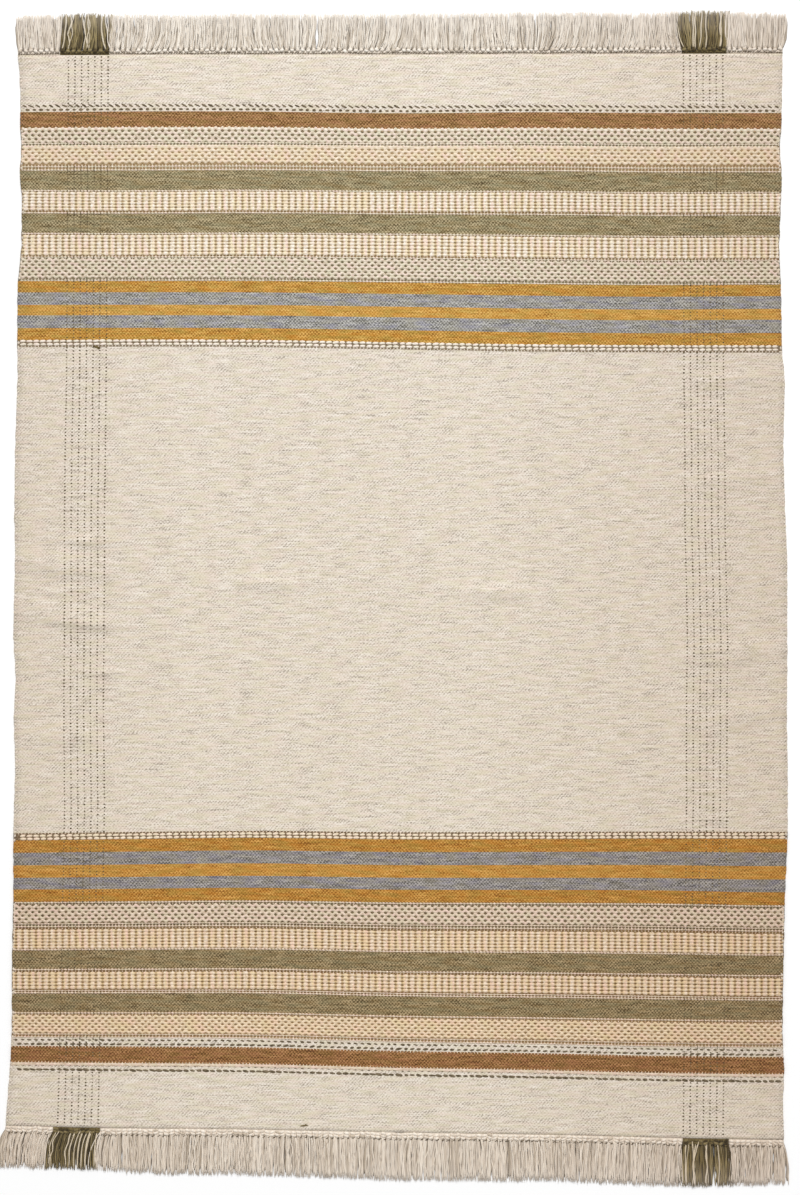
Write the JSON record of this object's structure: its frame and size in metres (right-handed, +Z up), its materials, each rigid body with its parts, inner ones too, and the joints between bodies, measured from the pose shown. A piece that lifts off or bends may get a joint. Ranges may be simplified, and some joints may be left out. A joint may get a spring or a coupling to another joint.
{
  "type": "flatwoven cotton kilim",
  "caption": "Flat cotton kilim with an ecru field, crosswise stripes near both ends and knotted yarn fringe, lying flat.",
  "frame": {"origin": "on the floor under the middle of the whole kilim, fringe included", "axes": "+Z up out of the floor, +Y along the kilim's length towards the top of the picture, +X across its width to the picture's right"},
  "size_m": [1.639, 2.4619, 0.008],
  "materials": {
    "cloth": "matt cotton twill flatweave, ecru with crosswise stripes",
    "ecru_yarn": "matt plied ecru cotton yarn",
    "olive_yarn": "matt plied olive cotton yarn"
  },
  "bodies": {
    "root": {"woven_cloth": "cloth", "top_fringe_left": "ecru_yarn", "top_fringe_olive_left": "olive_yarn", "top_fringe_middle": "ecru_yarn", "top_fringe_olive_right": "olive_yarn", "top_fringe_right": "ecru_yarn", "bottom_fringe_left": "ecru_yarn", "bottom_fringe_olive_left": "olive_yarn", "bottom_fringe_middle": "ecru_yarn", "bottom_fringe_olive_right": "olive_yarn", "bottom_fringe_right": "ecru_yarn"}
  },
  "joints": []
}
